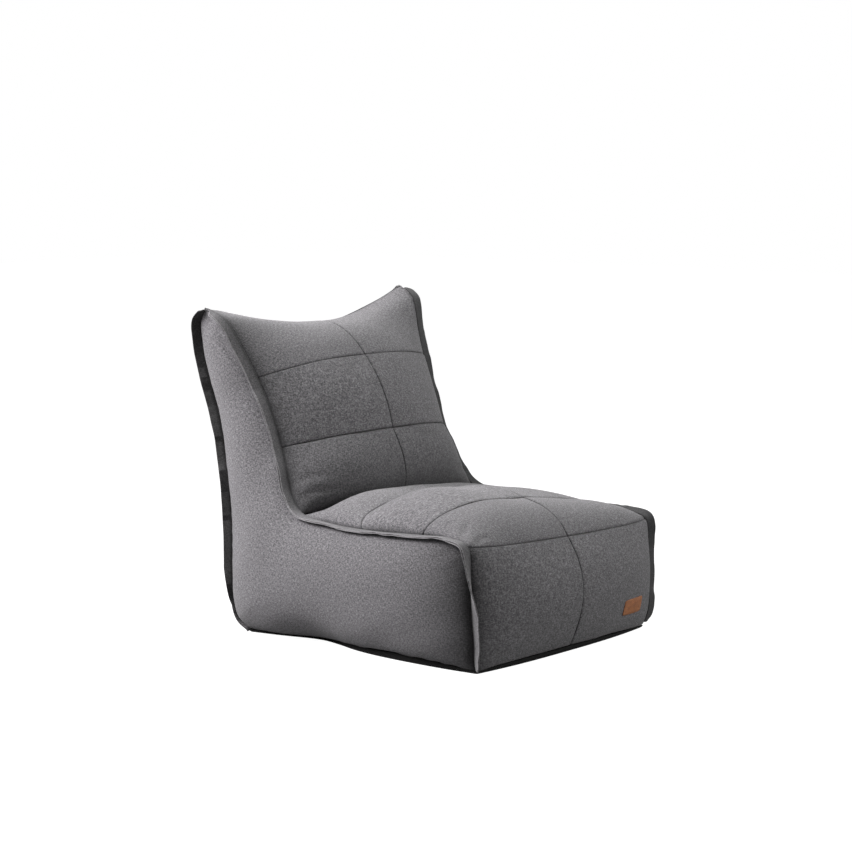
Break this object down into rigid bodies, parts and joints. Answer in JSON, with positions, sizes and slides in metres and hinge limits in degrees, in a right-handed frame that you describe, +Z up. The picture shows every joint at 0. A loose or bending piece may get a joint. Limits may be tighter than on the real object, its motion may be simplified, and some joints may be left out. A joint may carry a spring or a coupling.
{
  "type": "lounge bean bag chair",
  "caption": "Free-standing lounge bean bag chair with a quilted seat and backrest, edge flanges, a flat base, a rear zip and two liner bags of beads.",
  "frame": {"origin": "on the floor under the middle of the chair's width and depth", "axes": "+Z up, the seat faces -Y, left and right are the sitter's: +X is left"},
  "size_m": [0.786, 0.9499, 0.8264],
  "materials": {
    "grey_melange": "heathered grey polyester weave",
    "dark_lining": "near-black woven lining",
    "black_base": "black coated base cloth",
    "tan_leather": "plain tan leather",
    "liner_cloth": "white non-woven liner",
    "beads": "expanded polystyrene beads",
    "zip_tape": "black woven zip tape",
    "zip_nylon": "black nylon",
    "zip_metal": "dark plated metal"
  },
  "bodies": {
    "chair": {"left_front_panel": "grey_melange", "right_front_panel": "grey_melange", "left_seat_front_panel": "grey_melange", "right_seat_front_panel": "grey_melange", "left_seat_middle_panel": "grey_melange", "right_seat_middle_panel": "grey_melange", "left_seat_rear_panel": "grey_melange", "right_seat_rear_panel": "grey_melange", "left_backrest_lower_panel": "grey_melange", "right_backrest_lower_panel": "grey_melange", "left_backrest_middle_panel": "grey_melange", "right_backrest_middle_panel": "grey_melange", "left_backrest_upper_panel": "grey_melange", "right_backrest_upper_panel": "grey_melange", "left_rear_panel": "grey_melange", "right_rear_panel": "grey_melange", "left_side_panel": "grey_melange", "right_side_panel": "grey_melange", "left_front_flange": "grey_melange", "right_front_flange": "grey_melange", "left_rear_flange": "dark_lining", "right_rear_flange": "dark_lining", "left_zip_tape": "zip_tape", "right_zip_tape": "zip_tape", "left_zip_teeth": "zip_nylon", "right_zip_teeth": "zip_nylon", "base_panel": "black_base", "leather_tag": "tan_leather", "zip_top_stop": "zip_metal", "zip_bottom_stop": "zip_metal", "seat_liner_bag": "liner_cloth", "back_liner_bag": "liner_cloth", "seat_bead_fill": "beads", "back_bead_fill": "beads", "seat_liner_closure": "liner_cloth", "back_liner_closure": "liner_cloth"},
    "zip_slider": {"zip_slider": "zip_metal"},
    "zip_pull": {"zip_pull": "zip_metal"}
  },
  "joints": [
    {"name": "zip_travel", "type": "slide", "parent": "chair", "child": "zip_slider", "axis": [0, 0, 1], "range_m": [-0.275, 0]},
    {"name": "pull_swing", "type": "hinge", "parent": "zip_slider", "child": "zip_pull", "pos_m": [0, 0.4012, 0.3668], "axis": [1, 0, 0], "range_deg": [0, 165]}
  ]
}
